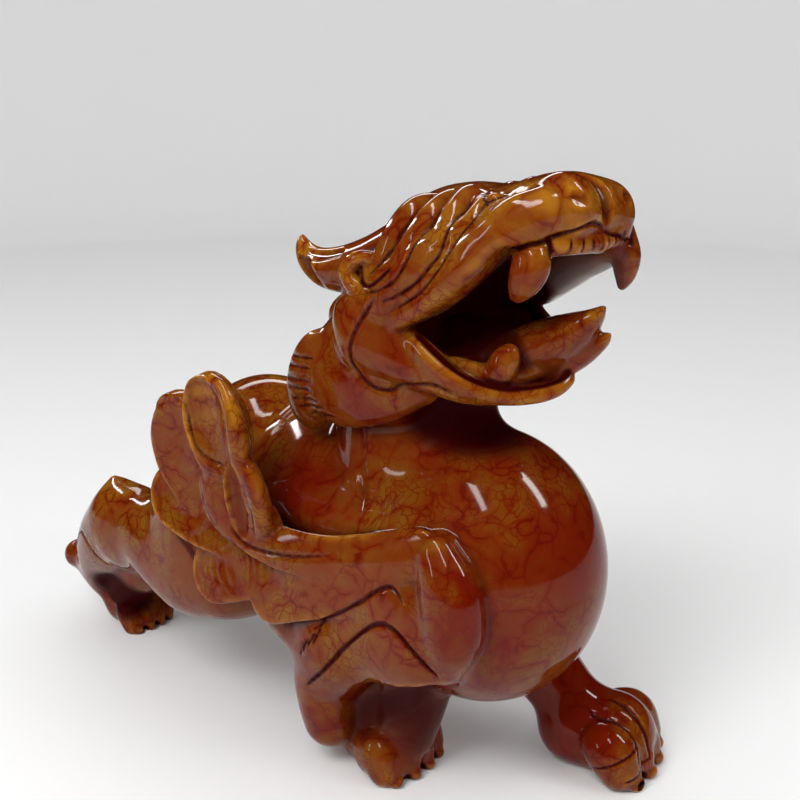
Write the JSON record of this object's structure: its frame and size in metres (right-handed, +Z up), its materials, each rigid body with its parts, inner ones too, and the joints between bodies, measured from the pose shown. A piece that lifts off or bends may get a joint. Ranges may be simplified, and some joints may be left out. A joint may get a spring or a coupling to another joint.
{
  "type": "pixiu figure",
  "caption": "Carved stone figure of a winged mythical beast striding with its head thrown back and mouth open, standing on its own four paws.",
  "frame": {"origin": "on the floor under the middle of the figure's outline", "axes": "+X the way the beast faces, +Y its left, +Z up"},
  "size_m": [0.2862, 0.1312, 0.228],
  "materials": {
    "stone": "polished stone, amber and red-brown with fine red crackle veins"
  },
  "bodies": {
    "root": {"pixiu_figure": "stone"}
  },
  "joints": []
}
